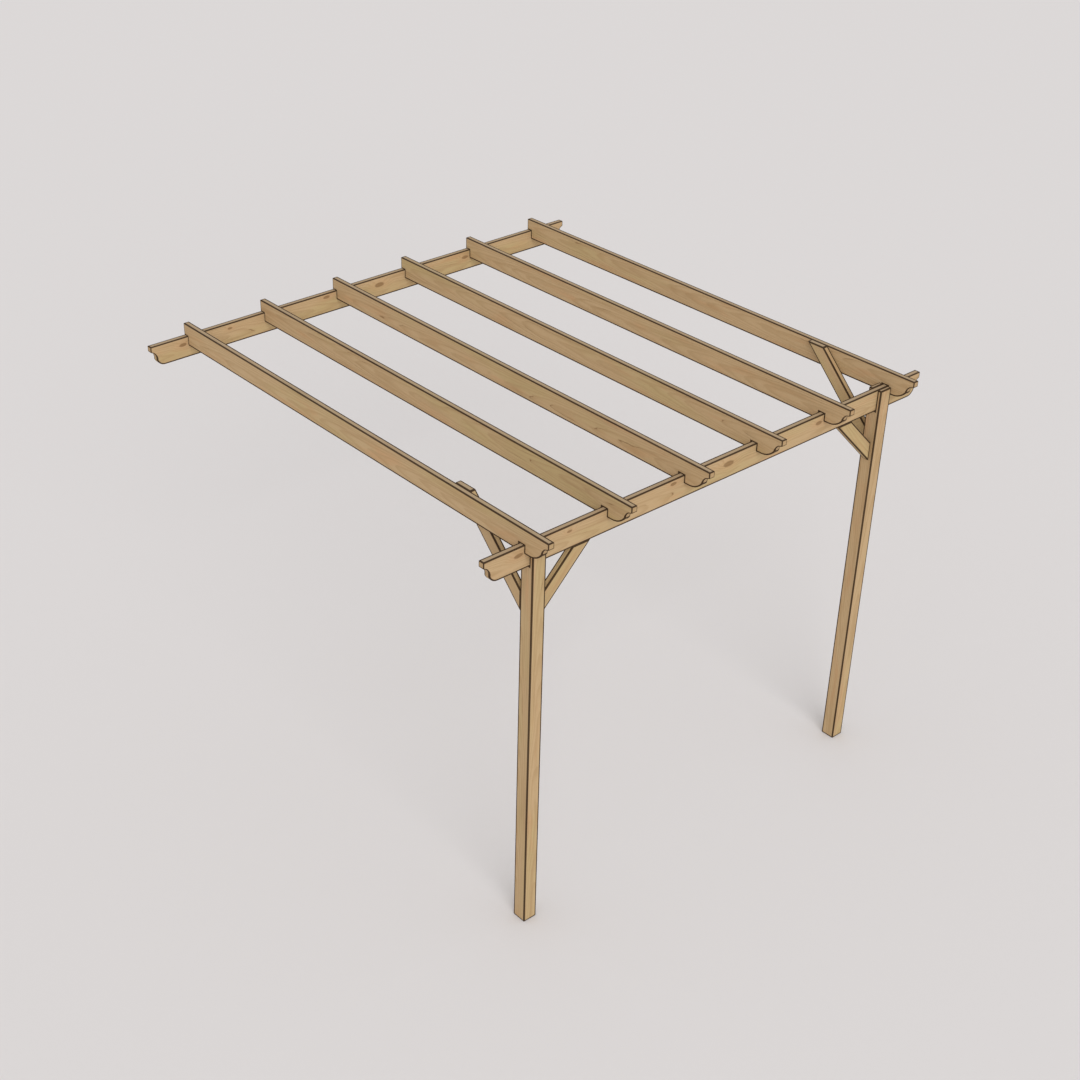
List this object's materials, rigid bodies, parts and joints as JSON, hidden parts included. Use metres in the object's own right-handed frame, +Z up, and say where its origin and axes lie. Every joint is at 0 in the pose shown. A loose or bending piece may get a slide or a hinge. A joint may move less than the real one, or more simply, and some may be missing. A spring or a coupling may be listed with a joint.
{
  "type": "wooden lean-to pergola",
  "caption": "Open timber lean-to pergola: scroll-cut rafters over a wall runner and a front runner, on two braced posts.",
  "frame": {"origin": "centre of the wall runner's back face, where it meets the wall", "axes": "+Z up, +Y into the wall, +X along the runners, to the right seen from the garden"},
  "size_m": [3.6, 3.6, 2.795],
  "materials": {
    "timber": "planed softwood with a satin clear stain"
  },
  "bodies": {
    "root": {"left_post": "timber", "right_post": "timber", "front_runner": "timber", "wall_runner": "timber", "rafter_1": "timber", "rafter_2": "timber", "rafter_3": "timber", "rafter_4": "timber", "rafter_5": "timber", "rafter_6": "timber", "left_runner_brace": "timber", "right_runner_brace": "timber", "left_rafter_brace": "timber", "right_rafter_brace": "timber"}
  },
  "joints": []
}
